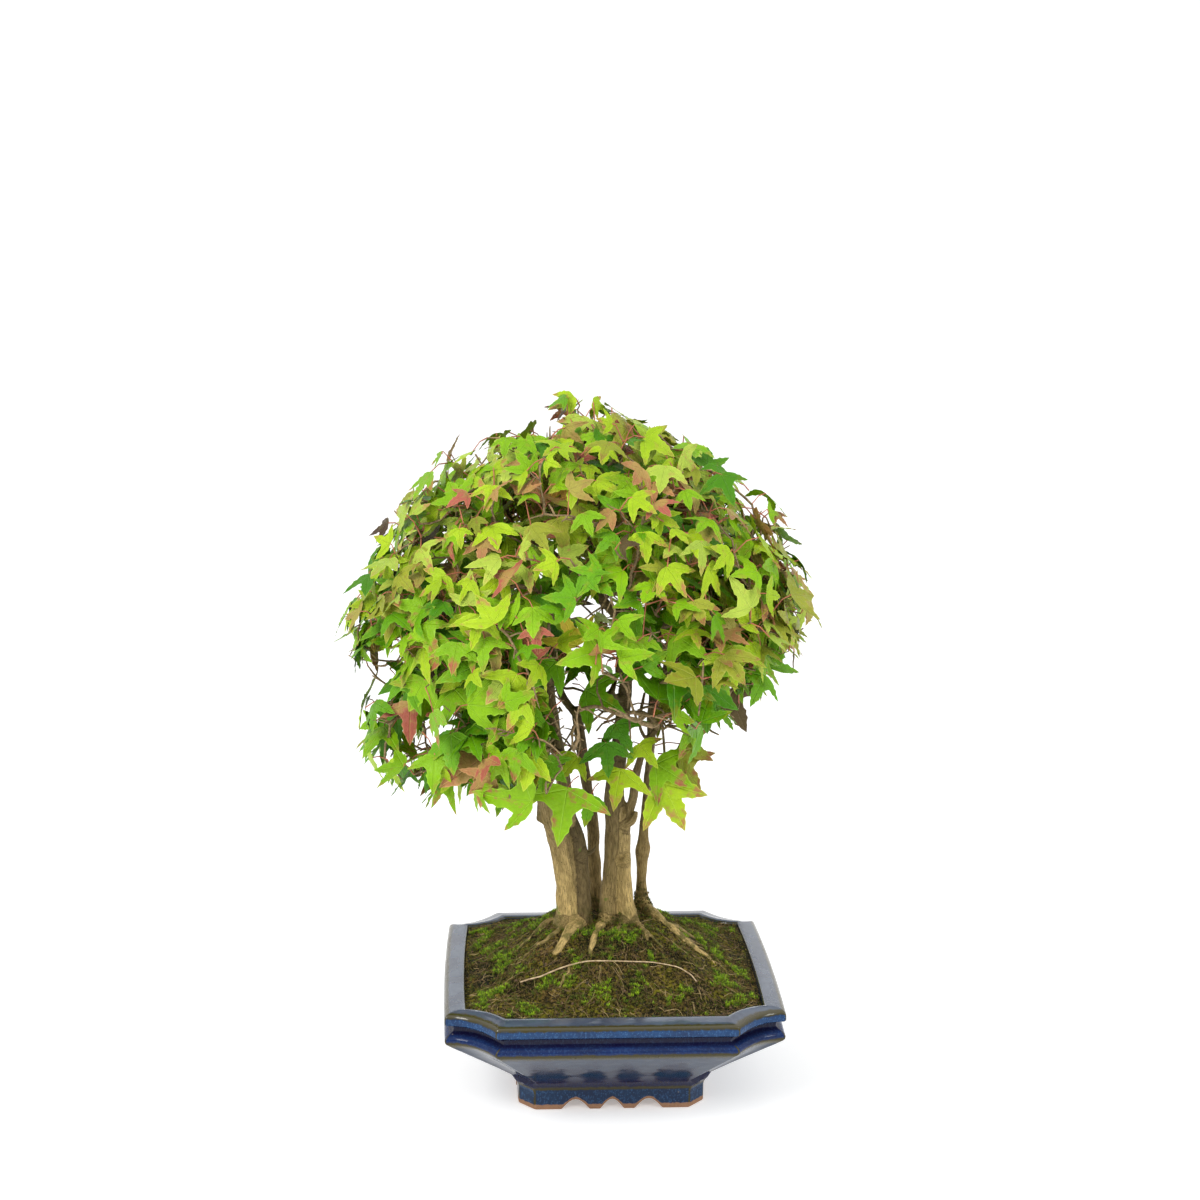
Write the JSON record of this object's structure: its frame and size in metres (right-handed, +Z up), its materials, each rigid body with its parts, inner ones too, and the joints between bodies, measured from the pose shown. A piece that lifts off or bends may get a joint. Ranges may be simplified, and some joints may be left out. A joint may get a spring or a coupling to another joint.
{
  "type": "potted trident maple bonsai",
  "caption": "Clump-style bonsai maple with slender trunks and a domed leafy crown, in a blue glazed pot with notched corners.",
  "frame": {"origin": "on the ground under the middle of the whole plant's bounding box; the pot's feet stand on z = 0 and the pot's middle is 29 mm to the right of the origin and 16.3 mm in front of it", "axes": "+X to the right along the pot's long front, +Y from the front towards the back, +Z up along the trunks"},
  "size_m": [0.4035, 0.3544, 0.6026],
  "materials": {
    "glaze": "gloss",
    "soil": "matte",
    "bark": "matte",
    "foliage": "satin"
  },
  "bodies": {
    "root": {"pot": "glaze", "soil": "soil", "trunk_left": "bark", "trunk_rear": "bark", "trunk_main": "bark", "trunk_right": "bark", "root_right": "bark", "root_left": "bark", "root_middle": "bark", "root_small": "bark", "bough_left": "bark", "bough_left_inner": "bark", "bough_left_front": "bark", "bough_left_high": "bark", "bough_left_rear": "bark", "bough_left_back": "bark", "bough_rear": "bark", "bough_centre": "bark", "bough_front_low": "bark", "bough_front": "bark", "bough_upper_left": "bark", "bough_back": "bark", "bough_upper_right": "bark", "bough_right": "bark", "bough_right_front": "bark", "bough_inner": "bark", "bough_right_low": "bark", "bough_right_back": "bark", "bough_right_spur": "bark", "foliage_top": "foliage", "foliage_top_right": "foliage", "foliage_top_left": "foliage", "foliage_top_back": "foliage", "foliage_top_front": "foliage", "foliage_right": "foliage", "foliage_right_front": "foliage", "foliage_right_low": "foliage", "foliage_right_back": "foliage", "foliage_left_back": "foliage", "foliage_left": "foliage", "foliage_left_front": "foliage", "foliage_left_low": "foliage", "foliage_low_front": "foliage", "foliage_low_back": "foliage", "foliage_rear": "foliage", "foliage_centre": "foliage", "foliage_front_low": "foliage", "foliage_spray_low": "foliage", "foliage_spray_right": "foliage"}
  },
  "joints": []
}
